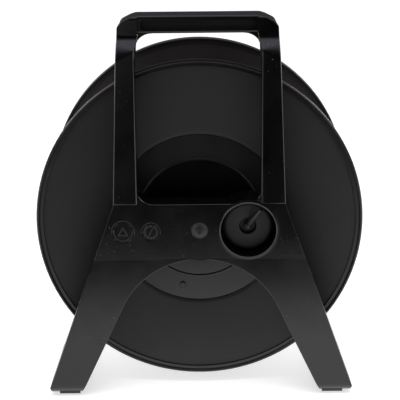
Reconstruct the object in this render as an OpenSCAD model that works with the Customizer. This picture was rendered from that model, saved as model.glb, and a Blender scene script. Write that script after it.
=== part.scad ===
// Empty cable drum on a moulded carrying stand. Two dished flanges on a hollow core turn on one
// axle, which is held at one end only, in a flat stand with a hand grip and two splayed legs.
// A knob with a lever in the stand's cup pushes a brake pad against the drum's hub plate.
//
// Every piece is drawn about the axle: X to the right as seen from the stand's side, Y along the
// axle from the stand into the drum with 0 at the rear rim, Z up. place() then sets it on the floor.

/* [Drum] */
// Outer radius of both flanges
flange_r = 155.6; // [145:0.1:168]
// Width of the drum over both rims
drum_w = 153.7; // [140:0.1:180]
// Thickness of the flange discs
flange_t = 3.5; // [2.5:0.1:4.5]
// Thickness of the rolled rim, along the axle
rim_t = 8; // [6.5:0.1:10]
// Width of the rim band with its bead, groove and ridge
rim_band = 6.7; // [6:0.1:9]
// Depth at which the flange face starts beside the rim band
face_in = 3; // [2.4:0.1:4]
// Radius where the flange face ends at the hub plate or hub cover
hub_r = 83; // [80:0.5:88]
// Depth of the flange face at that radius
dish_depth = 12; // [11.5:0.1:14]
// Outer radius of the core that the cable is wound on
core_r = 62.5; // [61.5:0.1:66]
// Wall of the core
core_t = 3; // [2:0.1:4]
// Depth of the seat in each flange that holds an end of the core
core_seat = 2.5; // [1.5:0.5:4]

/* [Hub plate] */
// Thickness of the hub plate that the brake presses on
hub_t = 2.5; // [1.8:0.1:3.2]
// How far its face lies behind the flange's inner edge
hub_set = 0.5; // [0.3:0.1:0.8]
// Radius of the bead on its face
hub_bead_r = 58.4; // [57:0.1:60]
// Length of the collar that centres it in the flange
hub_collar = 2.5; // [1.5:0.5:4]
// Radius of the locating peg on the hub plate
peg_r = 3; // [2:0.1:4]
// Height of the peg above the plate
peg_h = 1.8; // [1:0.1:1.9]
// Direction of the peg from the axle, in degrees from +X towards +Z
peg_angle = -104; // [-180:1:180]

/* [Bearing] */
// Radius of the axle
axle_r = 6; // [5:0.1:6.5]
// Radius of the domed axle head
axle_head_r = 7.8; // [7.5:0.1:10]
// Height of the domed axle head
axle_head_h = 3.7; // [3:0.1:5]
// Wall of the flanged bearing bushes
bush_wall = 3; // [2:0.1:3.5]
// Length of each bush inside the sleeve
bush_len = 18; // [12:0.5:25]
// Thickness of the bush flanges
bush_flange_t = 2; // [1.5:0.1:3]
// Wall of the bearing sleeve round the bushes
sleeve_wall = 4; // [3:0.1:5]
// Thickness of the thrust washers
washer_t = 1.5; // [1:0.1:2]
// Height of the axle nut
nut_h = 6; // [5:0.1:7]
// Width across the flats of the axle nut
nut_af = 19; // [17:0.5:20]

/* [Front hub] */
// Thickness of the hub cover
cover_t = 3; // [2:0.1:4]
// Depth of the pot behind the hub cover
pot_depth = 13; // [12.8:0.1:15]
// Thickness of the web that carries the bearing sleeve
web_t = 3; // [2.5:0.1:4]
// Number of ribs between the web and the sleeve
web_ribs = 6; // [3:1:8]
// Reach of those ribs along the sleeve
web_rib_reach = 40; // [20:1:60]
// Number of screws that hold the front flange to the core
drum_screw_n = 6; // [3:1:6]
// Radius of the circle of these screws
drum_screw_pcr = 49; // [46:0.5:50]
// Number of screws that hold the hub cover
cover_screw_n = 3; // [2:1:3]
// Radius of the hole through the grommet in the core, which a cable passes
cord_hole_r = 6.5; // [4:0.1:8]
// Wall of the grommet
grommet_wall = 2.5; // [2:0.1:4]

/* [Stand] */
// Clearance from the drum's rim down to the floor
floor_clear = 10.5; // [7:0.5:20]
// Gap between the stand and the drum's rear rim
stand_gap = 4; // [3:0.1:8]
// Depth of the stand's channel section
stand_depth = 24; // [20:0.5:30]
// Wall of the stand
wall = 3; // [2:0.1:3.6]
// Thickness of the stand's ribs
rib_t = 2; // [1.5:0.1:3]
// Height of the plate's top edge above the axle
plate_top = 25.6; // [23:0.1:32]
// Half width of the plate at that height
shoulder_x = 80; // [78:0.5:86]
// Half width of the clear opening between the arms
arm_gap = 57.4; // [54:0.1:59]
// Half width over the arms at the top
arm_top_x = 72.8; // [70:0.1:77]
// Radius of the opening's lower corners
opening_r = 15; // [8:0.5:18]
// How far the arms stand proud of the plate
arm_proud = 1.5; // [0.5:0.1:3]
// Radius of the arch between the legs
arch_r = 80; // [72:0.5:84]
// Depth of the arch's crown below the axle
arch_top = 28.4; // [24:0.1:34]
// Half width over the feet
foot_out_x = 148.4; // [142:0.1:155]
// Half width between the feet
foot_in_x = 115.5; // [113:0.5:119]
// Radius of the outer corners of the feet
foot_r = 6; // [5:0.5:14]
// Rearward lean of the legs at the floor
leg_lean = 3.4; // [0:0.1:6]
// How far the legs stand proud of the plate
leg_proud = 0.4; // [0.2:0.1:1]
// Rounding of the toes
toe_r = 12; // [6:0.5:16]
// Width of the runners
runner_w = 20; // [16:0.5:22]
// Height of the runners
runner_h = 14; // [12:0.5:18]
// Distance of the runners' ends behind the drum's front rim
runner_back = 18; // [6:0.5:30]
// Height of the gusset where a runner joins its leg
gusset_h = 44; // [30:1:50]
// Radius of the rubber foot pads
pad_r = 7; // [5:0.5:8]
// Thickness of the rubber foot pads
pad_t = 4; // [3:0.1:6]
// How far the foot pads stand out of the runners
pad_proud = 1.5; // [1:0.1:2.5]

/* [Grip] */
// Finger room between the drum and the grip
grip_clear = 27.9; // [24:0.1:40]
// Height of the grip
grip_h = 17.2; // [15:0.1:22]
// Depth of the grip
grip_d = 37; // [30:0.5:40]
// Wall of the grip over its channel
grip_lip = 4.3; // [3:0.1:5]
// Wall of the grip below its channel
grip_floor = 3.1; // [2.5:0.1:4]
// How far the grip sits back from the cheeks
grip_back = 3; // [1:0.1:5]
// How far the cheeks sit back from the arms
cheek_back = 11.5; // [6:0.5:14]
// Height of the sloped band between arms and cheeks
cheek_slope = 10.4; // [6:0.1:16]
// Height of the cheeks above the sloped band
cheek_h = 21.4; // [16:0.1:26]
// Width of the slanted corners of the handle
corner_w = 14.5; // [11:0.5:18]
// Height of the slanted corners of the handle
corner_h = 8.5; // [7:0.5:11]
// Radius of the fillets under the grip's ends
fillet_r = 16; // [8:0.5:18]
// Reach of the cheeks in front of the rear rim
cheek_reach = 26; // [22:0.5:32]

/* [Brake] */
// Distance of the brake axis from the axle
brake_x = 45.4; // [44.5:0.1:46]
// Radius of the cup's mouth
cup_r = 27.5; // [27:0.1:28.2]
// Inward taper of the cup towards its floor
cup_taper = 1.3; // [0.6:0.1:1.5]
// Reach of the cup in front of the rear rim
cup_reach = 5; // [4:0.1:5.2]
// Radius of the brake knob
knob_r = 23.8; // [20:0.1:24]
// Height of the brake knob
knob_h = 15.5; // [13:0.1:18]
// Rounding of the knob's edge
knob_round = 6; // [3:0.1:6.5]
// Radius of the hole in the knob
knob_hole_r = 7.9; // [7:0.1:9]
// Depth of the hole in the knob
knob_hole_d = 10; // [8:0.1:11]
// Distance of the lever's tip from the brake axis
lever_reach = 22.3; // [16:0.1:23]
// Height of the lever's tip over the knob's face
lever_rise = 11.5; // [6:0.1:13]
// Radius of the lever at its root
lever_r = 3; // [2.2:0.1:3.4]
// Radius of the lever at its tip
lever_tip_r = 1.7; // [1.4:0.1:2.4]
// Direction of the lever when the brake is off, in degrees from +X towards +Z
lever_angle = 59; // [20:1:90]
// Radius of the brake spindle
spindle_r = 4; // [3:0.1:5]
// Travel of the brake shoe when the brake is applied
brake_travel = 2; // [1.5:0.1:2]
// Thickness of the brake shoe
shoe_t = 3; // [2.6:0.1:3.6]
// Width of the brake shoe
shoe_w = 14; // [10:0.5:16]
// Length of the brake pad along the shoe
lining_l = 6; // [4:0.1:6.4]

/* [Crank] */
// Distance of the crank knob from the axle
crank_at = 118; // [105:0.5:125]
// Length of the crank knob
crank_l = 44.5; // [38:0.5:52]
// Largest radius of the crank knob
crank_r = 16; // [14:0.5:18]
// Radius of the crank pin
crank_pin_r = 5; // [4:0.1:6]

/* [Fits] */
// Radial clearance of a shaft that turns in its bore
run_fit = 0.05; // [0.02:0.01:0.08]
// Radial clearance of a piece pushed or screwed into another
push_fit = 0.1; // [0.05:0.01:0.15]
// End float of a turning piece
end_float = 0.3; // [0.2:0.05:0.4]
// Side clearance of a sliding piece
slide_gap = 0.3; // [0.2:0.05:0.5]

/* [Hidden] */
$fn = 96;

// Overlap of joined volumes, and overshoot of cutters
lap = 1;

// Stand, along Y
plate_y = -(stand_gap + stand_depth);
arm_y = plate_y - arm_proud;
stand_front = -stand_gap;
cheek_y = arm_y + cheek_back;

// Heights about the axle
axle_h = flange_r + floor_clear;
sole_z = -(axle_h - pad_proud);
grip_z = flange_r + grip_clear;
top_z = grip_z + grip_h;
cheek_z = top_z - cheek_h;
// The arms turn forward above the drum's edge, this far clear of it
sweep_clear = 5;
sweep_z = sqrt(flange_r * flange_r - arm_gap * arm_gap) + sweep_clear;
sweep_rise = 27;

// Flange faces
face_r = flange_r - rim_band;
// The face falls more steeply over its last few millimetres
lead_w = 4;
lead_d = 1.5;
face_fall = (dish_depth - lead_d - face_in) / (face_r - hub_r - lead_w);
function face_depth(r) = face_in + (face_r - r) * face_fall;
bead_w = 3;
groove_w = 2;
groove_d = 2;
ridge_d = 1.2;
edge_r = 1;

// Core and hub plate
core_in = core_r - core_t;
hub_face = dish_depth + hub_set;
hub_back = hub_face + hub_t;
hub_bead_w = 3.2;
hub_bead_h = 1.2;
hub_bead_edge = 0.6;
collar_t = 2;
rebate_r = core_in + collar_t + push_fit;
rebate_end = hub_back + hub_collar;
root_step = 2;
seat_r = core_r + push_fit;
// The brake pad runs on the outer part of the plate, and the peg stands inside its track
pad_margin = 3;
peg_margin = 1.4;
lining_x1 = hub_r - pad_margin;
lining_x0 = lining_x1 - lining_l;
peg_at = lining_x0 - peg_margin - peg_r;
peg_edge = 0.4;

// Front hub, measured from the front rim inwards
ledge_in = dish_depth + cover_t + push_fit;
ledge_t = 2.4;
// The lip of the front hub lies in a rebate of the ledge
lip_r = 68;
lip_back = ledge_in + 2;
ledge_back = lip_back + ledge_t;
core_end = drum_w - ledge_back;
pot_floor = ledge_in + pot_depth;
web_back = drum_w - pot_floor - web_t;
pot_wall = 3;
cover_bead = 8;
cover_bead_h = 0.8;
pot_r = core_in - push_fit;
web_rib_r = drum_screw_pcr - 6;

// Bearing stack, along Y
bush_r = axle_r + run_fit + bush_wall;
bush_flange_r = bush_r + 3;
sleeve_in = bush_r + push_fit;
sleeve_r = sleeve_in + sleeve_wall;
boss_end = dish_depth - 1.5;
boss_r = axle_r + 9;
boss_flare = 3;
boss_taper = 2;
rear_bush_y = boss_end + washer_t + end_float;
sleeve_y0 = rear_bush_y + bush_flange_t;
sleeve_y1 = drum_w - pot_floor + 2;
front_bush_y = sleeve_y1 + bush_flange_t;
front_washer_y = front_bush_y + end_float;
nut_y = front_washer_y + washer_t;
axle_end = nut_y + nut_h + 0.4;
washer_r = 12;
// Neck of the hub plate round the boss, with its seat on the sleeve
neck_r = boss_r + 1.5;
neck_y = sleeve_y0 + 0.8;
neck_l = 6;
neck_edge = 1;
// Spare depth of a blind bore, and the sleeve's clearance round the axle between the bushes
bore_spare = 0.5;
sleeve_relief = 1.5;

// Screws
screw_r = 2;
screw_head_r = 3.8;
screw_head_h = 2.4;
screw_len = 18;
screw_boss_r = 4.5;
boss_len = 24;
head_edge = 1;
cover_screw_len = 10;
cover_screw_pcr = drum_screw_pcr + 1;
cross_w = 1;
cross_l = 4.4;
cross_d = 1.2;

// Passage for a cable through the core
cord_y = web_back - 20;
cord_boss_r = cord_hole_r + grommet_wall;
grommet_lip = 1.5;
grommet_lip_t = 1.5;

// Brake
cup_y0 = plate_y - 1;
cup_floor = cup_reach - wall;
cup_out_r = cup_r + 2;
cup_edge = 0.6;
knob_y1 = cup_floor - 0.5;
knob_y0 = knob_y1 - knob_h;
knob_skirt_r = knob_r + 1.2;
knob_skirt_h = 4.5;
knob_wall = 3;
lever_hub_t = 5;
lever_sunk = 1;
lever_neck_r = 3.5;
lever_ball_r = 4.2;
hole_floor = knob_y0 + knob_hole_d;
clip_t = 1;
clip_wall = 3;
shoe_y = cup_reach + slide_gap;
shoe_eye_r = 12;
spindle_end = hub_face - 1;
guide_t = 2;
guide_l = 12;
guide_x = 14;

// Crank
crank_boss_r = 10;
crank_boss_y = drum_w - 1.5;
crank_face = drum_w - face_depth(crank_at);
crank_y0 = crank_boss_y + end_float;
crank_head_r = 8;
crank_head_h = 3.2;
crank_cap_t = 2.5;
crank_seat = crank_y0 + crank_l - crank_cap_t - crank_head_h - 1.5;
crank_stud_r = 3;
crank_stud_l = 5;
crank_rim = 0.8;

// Feet
runner_reach = drum_w - runner_back;
runner_x = foot_in_x + 1.5 + runner_w / 2;
pad_y = [plate_y - leg_lean + toe_r + pad_r, runner_reach - pad_r - wall];
pad_edge = 0.8;

// The whole depth, whose middle is the origin
rear_reach = plate_y - max(leg_lean, axle_head_h);
front_reach = crank_y0 + crank_l;
mid_y = (rear_reach + front_reach) / 2;

// Marks that the mould leaves in the plate: centre, radius
mould_marks = [[-71.4, -1, 10.2], [-45.4, -1, 8.2]];
mark_w = 0.9;
mark_d = 0.5;

// ---- helpers ----

module place() {
    translate([0, -mid_y, axle_h]) children();
}

// A solid of revolution about the axle: the outline's x is the radius and its y is Y
module revolve() {
    rotate([-90, 0, 0]) rotate_extrude() children();
}

// The same, seen from the front rim inwards
module revolve_front() {
    translate([0, drum_w, 0]) rotate([90, 0, 0]) rotate_extrude() children();
}

module tube_y(r, y0, y1) {
    translate([0, y0, 0]) rotate([-90, 0, 0]) cylinder(r = r, h = y1 - y0);
}

// An outline in X and Z, drawn out from y0 to y1
module face_extrude(y0, y1) {
    translate([0, y1, 0]) rotate([90, 0, 0]) linear_extrude(y1 - y0) children();
}

// An outline in Y and Z, drawn out from x0 to x1
module side_extrude(x0, x1) {
    translate([x0, 0, 0]) rotate([90, 0, 90]) linear_extrude(x1 - x0) children();
}

function inward(a, b) = let (v = b - a) [-v[1], v[0]] / norm(v);

// Moves every side of a counterclockwise outline inwards by d
function inset(pts, d) = [
    for (i = [0 : len(pts) - 1])
        let (n = len(pts), m = inward(pts[(i + n - 1) % n], pts[i]),
             k = inward(pts[i], pts[(i + 1) % n]))
        pts[i] + d * (m + k) / (1 + m * k)
];

// An outline moved inwards by d, with its outward corners rounded
module rounded(pts, radii, d = 0) {
    p = inset(pts, d);
    n = len(p);
    difference() {
        polygon(p);
        for (i = [0 : n - 1])
            if (radii[i] - d > 0) {
                r = radii[i] - d;
                c = inset(p, r)[i];
                a = c - r * inward(p[(i + n - 1) % n], p[i]);
                b = c - r * inward(p[i], p[(i + 1) % n]);
                difference() {
                    polygon([p[i] + (p[i] - c) * 0.1, b, c, a]);
                    translate(c) circle(r);
                }
            }
    }
}

function arc_pts(c, r, a0, a1, n = 8) = [
    for (i = [0 : n]) let (a = a0 + (a1 - a0) * i / n) c + r * [cos(a), sin(a)]
];
function tail(pts) = [for (i = [1 : len(pts) - 1]) pts[i]];
function flip_x(pts) = [for (i = [len(pts) - 1 : -1 : 0]) [-pts[i][0], pts[i][1]]];
function both_sides(pts) = concat(pts, flip_x(pts));

module mirrored() {
    for (s = [0, 1]) mirror([s, 0, 0]) children();
}

// Copies turned about the axle: at angle 0 a copy lies towards +X, and angles turn towards +Z
module around(n, first = 0) {
    for (i = [0 : n - 1]) rotate([0, -(first + i * 360 / n), 0]) children();
}

// ---- the stand ----

arch_c = [0, -(arch_top + arch_r)];
foot_in = [foot_in_x, sole_z];
arch_turn = atan2(foot_in[1] - arch_c[1], foot_in[0])
    + acos(arch_r / norm(foot_in - arch_c));

corner_side_r = 8;
corner_top_r = 18;
stand_pts = both_sides([
    [foot_out_x, sole_z], [shoulder_x, plate_top], [arm_top_x, top_z - corner_h],
    [arm_top_x - corner_w, top_z]
]);
stand_radii = [
    foot_r, 0, corner_side_r, corner_top_r, corner_top_r, corner_side_r, 0, foot_r
];
opening_pts = both_sides([[arm_gap, plate_top], [arm_gap, grip_z]]);
opening_radii = [opening_r, fillet_r, fillet_r, opening_r];

// The arch between the legs: a circle with a tangent down each leg
module arch_cut(d) {
    n = [cos(arch_turn), sin(arch_turn)];
    t = arch_c + (arch_r + d) * n;
    drop = (t[1] - sole_z + 20) / cos(arch_turn);
    e = t + drop * [n[1], -n[0]];
    translate(arch_c) circle(arch_r + d);
    polygon([t, [-t[0], t[1]], [-e[0], e[1]], e]);
}

// Face outline of the stand, all its edges moved inwards by d
module stand_outline(d = 0) {
    difference() {
        rounded(stand_pts, stand_radii, d);
        rounded(opening_pts, opening_radii, -d);
        arch_cut(d);
    }
}

// Side outline of legs, plate, arms and cheeks, with the toe's rounding as points
leg_top = [plate_y - leg_proud, -arch_top];
lean_a = atan2(leg_lean - leg_proud, leg_top[1] - sole_z);
toe_c = [plate_y - leg_lean + toe_r * (1 + sin(lean_a)) / cos(lean_a), sole_z + toe_r];
toe_pts = arc_pts(toe_c, toe_r, 180 - lean_a, 270);
stand_side = concat(toe_pts, [
    [stand_front, sole_z], [stand_front, sweep_z], [cheek_reach, sweep_z + sweep_rise],
    [cheek_reach, top_z], [cheek_y, top_z], [cheek_y, cheek_z],
    [arm_y, cheek_z - cheek_slope], [arm_y, plate_top], [plate_y, plate_top],
    [plate_y, -arch_top], leg_top
]);
cheek_front_r = 14;
cheek_rear_r = 4;
stand_side_radii = [
    for (i = [0 : len(stand_side) - 1])
        i == len(toe_pts) + 3 ? cheek_front_r : i == len(toe_pts) + 4 ? cheek_rear_r : 0
];

module stand_body() {
    intersection() {
        face_extrude(-100, cheek_reach + lap) stand_outline();
        side_extrude(-foot_out_x - lap, foot_out_x + lap) rounded(stand_side, stand_side_radii);
    }
}

// The hollow of the channel section, open to the front, clear of the grip
module stand_hollow() {
    intersection() {
        face_extrude(-100, cheek_reach + 2 * wall) difference() {
            stand_outline(wall);
            translate([-(arm_gap - wall), grip_z - lap])
                square([2 * (arm_gap - wall), grip_h + 2 * lap]);
        }
        translate([0, wall, 0])
            side_extrude(-foot_out_x, foot_out_x) rounded(stand_side, stand_side_radii);
    }
}

// Ribs across the channel: straight ones in the arms, square to the leg in the legs, and a
// star from the axle boss through the plate
arm_rib_step = 30;
leg_rib_step = 28;
leg_tilt = atan2(foot_out_x - shoulder_x, plate_top - sole_z);
leg_mid = [(foot_in_x + foot_out_x) / 2, sole_z];

module rib_plates() {
    for (z = [plate_top + arm_rib_step : arm_rib_step : sweep_z])
        translate([-arm_top_x - 20, z]) square([2 * arm_top_x + 40, rib_t]);
    mirrored() translate(leg_mid) rotate(leg_tilt)
        for (i = [1 : 4]) translate([-60, i * leg_rib_step]) square([120, rib_t]);
    for (a = [35, 90, 145, 180, 215, 325])
        rotate(a) translate([0, -rib_t / 2]) square([120, rib_t]);
}

module stand_ribs() {
    rib_front = stand_front - 2;
    face_extrude(plate_y + wall - lap, rib_front) intersection() {
        stand_outline(wall - lap / 2);
        rib_plates();
    }
}

// Rounding of the grip's section from its rear lower edge round to its rear upper edge
grip_radii = [3, 5, 7, 3];
channel_end = 2.4;
channel_flat = 0.4;

// The grip: a bar with a rounded section and a channel open to the rear
module grip() {
    y0 = cheek_y + grip_back;
    half = arm_gap - wall;
    z0 = grip_z + grip_floor;
    z1 = top_z - grip_lip;
    channel_x = half - channel_end;
    channel_r = (z1 - z0) / 2 - channel_flat;
    difference() {
        intersection() {
            side_extrude(-arm_gap - lap, arm_gap + lap)
                rounded([[y0, grip_z], [y0 + grip_d, grip_z], [y0 + grip_d, top_z], [y0, top_z]],
                    grip_radii);
            face_extrude(y0 - lap, y0 + grip_d + lap) rounded(stand_pts, stand_radii);
        }
        face_extrude(y0 - lap, y0 + grip_d - wall)
            rounded([[-channel_x, z0], [channel_x, z0], [channel_x, z1], [-channel_x, z1]],
                [channel_r, channel_r, channel_r, channel_r]);
    }
    // fillets under its ends
    mirrored() face_extrude(y0 + lap, y0 + grip_d - 2 * lap)
        translate([arm_gap - fillet_r, grip_z - fillet_r]) difference() {
            square([fillet_r - wall, fillet_r + lap]);
            circle(fillet_r);
        }
    // webs that close the cheeks beside the grip
    mirrored() intersection() {
        face_extrude(cheek_y, cheek_reach) rounded(stand_pts, stand_radii);
        side_extrude(half, arm_gap) intersection() {
            rounded(stand_side, stand_side_radii);
            translate([cheek_y - lap, grip_z]) square([cheek_reach - cheek_y + 2 * lap, grip_h]);
        }
    }
}

// Everything between the cheeks that is not the grip
module grip_window() {
    y0 = cheek_y + grip_back;
    half = arm_gap - wall;
    side_extrude(-half, half) polygon([
        [arm_y - lap, sweep_z], [cheek_reach + lap, sweep_z],
        [cheek_reach + lap, top_z + lap], [arm_y - lap, top_z + lap]
    ]);
}

gusset_run = 1.2;
gusset_y = gusset_h * gusset_run;
runner_pts = [
    [stand_front - lap, sole_z], [runner_reach, sole_z], [runner_reach, sole_z + runner_h],
    [gusset_y, sole_z + runner_h], [stand_front - lap, sole_z + gusset_h]
];
runner_radii = [0, 3, 8, 0, 0];

// A runner with its gusset, and the two webs that carry them into the leg
module runner() {
    x0 = runner_x - runner_w / 2;
    x1 = runner_x + runner_w / 2;
    intersection() {
        union() {
            side_extrude(x0, x1) rounded(runner_pts, runner_radii);
            for (x = [x0, x1 - wall])
                translate([x, plate_y + lap, sole_z])
                    cube([wall, stand_depth - lap / 2, gusset_h]);
        }
        face_extrude(plate_y, runner_reach + lap) stand_outline();
    }
}

// The runner is moulded open to the floor, up to the solid block over its front pad
module runner_hollow() {
    p = inset(runner_pts, wall);
    y1 = runner_reach - 2 * pad_r - 2 * wall;
    side_extrude(runner_x - runner_w / 2 + wall, runner_x + runner_w / 2 - wall) polygon([
        [p[4][0], sole_z - lap], [y1, sole_z - lap], [y1, p[3][1]], p[3], p[4]
    ]);
}

// A solid block at the rear foot that takes the foot pad
module foot_block() {
    intersection() {
        translate([runner_x - runner_w / 2, plate_y + lap, sole_z])
            cube([runner_w, stand_depth - lap, pad_t + wall]);
        face_extrude(plate_y, stand_front) stand_outline();
    }
}

module brake_cup() {
    translate([brake_x, 0, 0]) revolve() polygon([
        [0, cup_y0 + cup_edge], [cup_out_r - cup_edge, cup_y0], [cup_out_r, cup_y0 + cup_edge],
        [cup_out_r, cup_reach], [0, cup_reach]
    ]);
    // guides beside the brake shoe
    for (s = [-1, 1])
        translate([brake_x + guide_x, cup_reach - lap,
                s * (shoe_w / 2 + slide_gap + guide_t / 2) - guide_t / 2])
            cube([guide_l, shoe_t + lap, guide_t]);
}

module brake_cup_hollow() {
    translate([brake_x, 0, 0]) revolve() polygon([
        [0, cup_y0 - lap], [cup_r + cup_edge, cup_y0 - lap], [cup_r + cup_edge, cup_y0],
        [cup_r, cup_y0 + 2 * cup_edge], [cup_r - cup_taper, cup_floor], [0, cup_floor]
    ]);
    translate([brake_x, 0, 0]) tube_y(spindle_r + run_fit, cup_floor - lap, cup_reach + lap);
}

module axle_boss() {
    revolve() polygon([
        [0, plate_y + lap], [boss_r + boss_flare, plate_y + lap], [boss_r, stand_front],
        [boss_r - boss_taper, boss_end], [0, boss_end]
    ]);
}

module mould_mark(m) {
    translate([m[0], plate_y + mark_d, m[1]]) rotate([90, 0, 0]) difference() {
        cylinder(r = m[2], h = mark_d + lap);
        translate([0, 0, -lap]) cylinder(r = m[2] - mark_w, h = mark_d + 3 * lap);
    }
}

module stand_frame() {
    color([0.07, 0.07, 0.075]) place() difference() {
        union() {
            difference() {
                stand_body();
                stand_hollow();
                grip_window();
                // the corners beside the opening lie level with the plate
                translate([-arm_gap, arm_y - lap, plate_top - lap])
                    cube([2 * arm_gap, plate_y - arm_y + lap, opening_r + 2 * lap]);
            }
            stand_ribs();
            grip();
            mirrored() runner();
            mirrored() foot_block();
            brake_cup();
            axle_boss();
        }
        tube_y(axle_r + run_fit, plate_y - lap, boss_end + lap);
        brake_cup_hollow();
        mirrored() runner_hollow();
        mirrored() for (y = pad_y)
            translate([runner_x, y, sole_z - lap])
                cylinder(r = pad_r + push_fit, h = pad_t - pad_proud + lap);
        for (m = mould_marks) mould_mark(m);
    }
}

module foot_pads() {
    color([0.12, 0.12, 0.12]) place() mirrored() for (y = pad_y)
        translate([runner_x, y, -axle_h]) rotate_extrude() polygon([
            [0, 0], [pad_r - pad_edge, 0], [pad_r, pad_edge], [pad_r, pad_t], [0, pad_t]
        ]);
}

// ---- axle and bearings ----

module axle() {
    dome_r = (axle_head_r * axle_head_r + axle_head_h * axle_head_h) / (2 * axle_head_h);
    dimple_r = 2;
    dimple_d = 0.5;
    color([0.2, 0.2, 0.21]) place() {
        tube_y(axle_r, plate_y - lap, axle_end);
        intersection() {
            translate([0, plate_y - axle_head_h + dome_r, 0]) sphere(r = dome_r);
            difference() {
                tube_y(axle_head_r, plate_y - axle_head_h, plate_y);
                tube_y(dimple_r, plate_y - axle_head_h - lap, plate_y - axle_head_h + dimple_d);
            }
        }
    }
}

module axle_nut() {
    color([0.6, 0.6, 0.62]) place() difference() {
        translate([0, nut_y, 0]) rotate([-90, 0, 0])
            cylinder(r = nut_af / sqrt(3), h = nut_h, $fn = 6);
        tube_y(axle_r + push_fit, nut_y - lap, nut_y + nut_h + lap);
    }
}

module washer(y) {
    color([0.62, 0.62, 0.64]) place() difference() {
        tube_y(washer_r, y, y + washer_t);
        tube_y(axle_r + push_fit, y - lap, y + washer_t + lap);
    }
}

module rear_washer() {
    washer(boss_end);
}

module front_washer() {
    washer(front_washer_y);
}

// A flanged bush in local axes: the flange lies at 0 and the sleeve goes towards +Y
module bush() {
    color([0.85, 0.84, 0.8]) revolve() difference() {
        union() {
            square([bush_r, bush_flange_t + bush_len]);
            square([bush_flange_r, bush_flange_t]);
        }
        translate([-lap, -lap]) square([axle_r + run_fit + lap, bush_flange_t + bush_len + 2 * lap]);
    }
}

module rear_bush() {
    place() translate([0, rear_bush_y, 0]) bush();
}

module front_bush() {
    place() translate([0, front_bush_y, 0]) mirror([0, 1, 0]) bush();
}

// ---- the drum ----

// Points of the flange's outer face, from the rim inwards
face_pts = [
    [flange_r, edge_r], [flange_r - edge_r, 0], [flange_r - bead_w + edge_r, 0],
    [flange_r - bead_w, edge_r], [flange_r - bead_w, groove_d],
    [flange_r - bead_w - groove_w, groove_d], [flange_r - bead_w - groove_w, ridge_d],
    [face_r, ridge_d], [face_r, face_in], [hub_r + lead_w, dish_depth - lead_d],
    [hub_r, dish_depth]
];
// Points of its back, from the hub outwards
back_pts = [
    [hub_r, dish_depth + flange_t], [face_r - 2, face_in + flange_t + 0.3],
    [flange_r - bead_w, rim_t - 1], [flange_r - bead_w + edge_r, rim_t],
    [flange_r - edge_r, rim_t], [flange_r, rim_t - edge_r]
];

// The rear flange, with seats for the hub plate and the core
module rear_flange() {
    root_back = rebate_end + core_seat;
    color([0.14, 0.14, 0.145]) place() revolve() polygon(concat(face_pts, [
        [hub_r, hub_back], [rebate_r, hub_back], [rebate_r, rebate_end], [seat_r, rebate_end],
        [seat_r, root_back], [hub_r + root_step, root_back],
        [hub_r + 4 * root_step, back_pts[0][1] - 1]
    ], tail(back_pts)));
}

// The core: a tube with columns for the drum screws and a passage for the cable
module drum_core() {
    pad_r = cord_boss_r + 3;
    color([0.13, 0.13, 0.135]) place() difference() {
        union() {
            difference() {
                tube_y(core_r, rebate_end, core_end);
                tube_y(core_in, rebate_end - lap, core_end + lap);
            }
            around(drum_screw_n) screw_boss();
            // pad round the cable passage
            intersection() {
                translate([0, cord_y, 0]) cylinder(r = pad_r, h = 2 * core_r);
                difference() {
                    tube_y(core_r + lap, cord_y - 2 * pad_r, core_end);
                    tube_y(core_in, cord_y - 3 * pad_r, core_end + lap);
                }
            }
        }
        around(drum_screw_n) translate([drum_screw_pcr, 0, 0])
            tube_y(screw_r + push_fit, web_back - screw_len + lap, web_back + lap);
        translate([0, cord_y, 0]) cylinder(r = cord_boss_r, h = 2 * core_r);
    }
}

// A column inside the core for one drum screw, with a fin to the core's wall
module screw_boss() {
    y0 = web_back - boss_len;
    translate([drum_screw_pcr, 0, 0]) tube_y(screw_boss_r, y0, web_back);
    translate([drum_screw_pcr, y0, -rib_t / 2])
        cube([core_in - drum_screw_pcr + lap, boss_len, rib_t]);
}

// The plate that closes the core behind the stand: a bead on its face, a neck round the
// stand's boss, and collars on the bearing sleeve and in the flange
module hub_plate() {
    bead_out = hub_bead_r + hub_bead_w / 2;
    bead_in = hub_bead_r - hub_bead_w / 2;
    neck_in = sleeve_r + push_fit;
    color([0.16, 0.155, 0.15]) place() {
        revolve() polygon([
            [hub_r - push_fit, hub_face], [bead_out, hub_face],
            [bead_out - hub_bead_edge, hub_face - hub_bead_h],
            [bead_in + hub_bead_edge, hub_face - hub_bead_h], [bead_in, hub_face],
            [neck_r + neck_edge, hub_face], [neck_r, hub_face + neck_edge], [neck_r, neck_y],
            [neck_in, neck_y], [neck_in, neck_y + neck_l], [neck_in + hub_t, neck_y + neck_l],
            [neck_in + hub_t, neck_y + hub_t], [neck_r + hub_t, neck_y + hub_t],
            [neck_r + hub_t, hub_back], [core_in, hub_back], [core_in, rebate_end],
            [rebate_r - push_fit, rebate_end], [rebate_r - push_fit, hub_back],
            [hub_r - push_fit, hub_back]
        ]);
        rotate([0, -peg_angle, 0]) translate([peg_at, hub_face - peg_h, 0]) rotate([-90, 0, 0]) {
            cylinder(r1 = peg_r - peg_edge, r2 = peg_r, h = peg_edge);
            translate([0, 0, peg_edge]) cylinder(r = peg_r, h = peg_h + hub_t / 2);
        }
    }
}

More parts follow.
